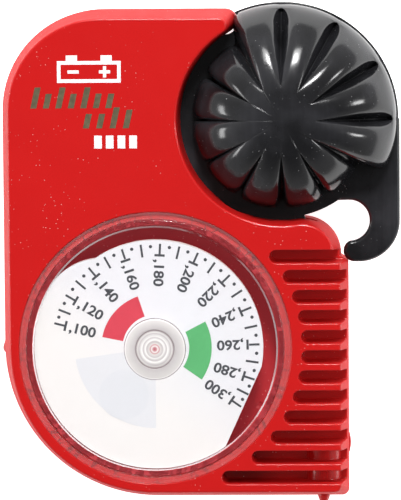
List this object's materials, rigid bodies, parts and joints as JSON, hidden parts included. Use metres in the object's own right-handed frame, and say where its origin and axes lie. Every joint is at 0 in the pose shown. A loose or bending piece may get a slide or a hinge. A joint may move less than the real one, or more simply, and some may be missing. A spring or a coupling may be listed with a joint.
{
  "type": "battery acid tester",
  "caption": "Hand-held battery acid tester: a red grip case with a turning float dial behind a clear window, a squeeze bulb with a hanging hook, and a folding suction pipe.",
  "frame": {"origin": "bottom centre of the bounding box: the middle of the object, in the plane of its back", "axes": "+Z out of the dial face, +Y along the length towards the bulb, +X towards the side with the grip slots"},
  "size_m": [0.1004, 0.1251, 0.0335],
  "materials": {
    "case_red": "glossy moulded",
    "chamber_red": "glossy moulded, seen through the window",
    "clear_window": "clear moulded plastic",
    "float_white": "satin moulded",
    "label_print": "printed",
    "ballast_metal": "turned",
    "screw_steel": "bright",
    "bolt_metal": "turned",
    "bearing_plastic": "natural",
    "seal_rubber": "smooth",
    "bulb_black": "satin moulded, slightly dusty"
  },
  "bodies": {
    "case": {"front_shell": "case_red", "rear_shell": "case_red", "case_screws": "screw_steel", "measuring_chamber": "chamber_red", "window_seal": "seal_rubber", "dial_window": "clear_window", "rear_bearing": "bearing_plastic", "front_bearing": "bearing_plastic", "bulb_base": "bulb_black", "bulb_clip": "screw_steel", "air_tube": "chamber_red", "inlet_manifold": "case_red", "inlet_tube": "chamber_red", "channel_plug": "case_red", "pivot_bolt": "bolt_metal", "pipe_seals": "seal_rubber", "pivot_washer": "bearing_plastic"},
    "float": {"float_dial": "float_white", "scale_label": "label_print", "ballast_weight": "ballast_metal", "pivot_pin": "screw_steel"},
    "bulb": {"suction_bulb": "bulb_black"},
    "pipe": {"suction_pipe": "case_red"}
  },
  "joints": [
    {"name": "float_turn", "type": "hinge", "parent": "case", "child": "float", "pos_m": [-0.0114, -0.0236, 0.0215], "axis": [0, 0, 1], "continuous": true},
    {"name": "bulb_press", "type": "slide", "parent": "case", "child": "bulb", "axis": [0, 0, -1], "range_m": [0, 0.008], "stiffness_N_per_m": 900, "deforming": ["suction_bulb"]},
    {"name": "pipe_swing", "type": "hinge", "parent": "case", "child": "pipe", "pos_m": [0.0303, -0.0493, 0.0035], "axis": [0, 0, 1], "range_deg": [0, 107.9]}
  ]
}
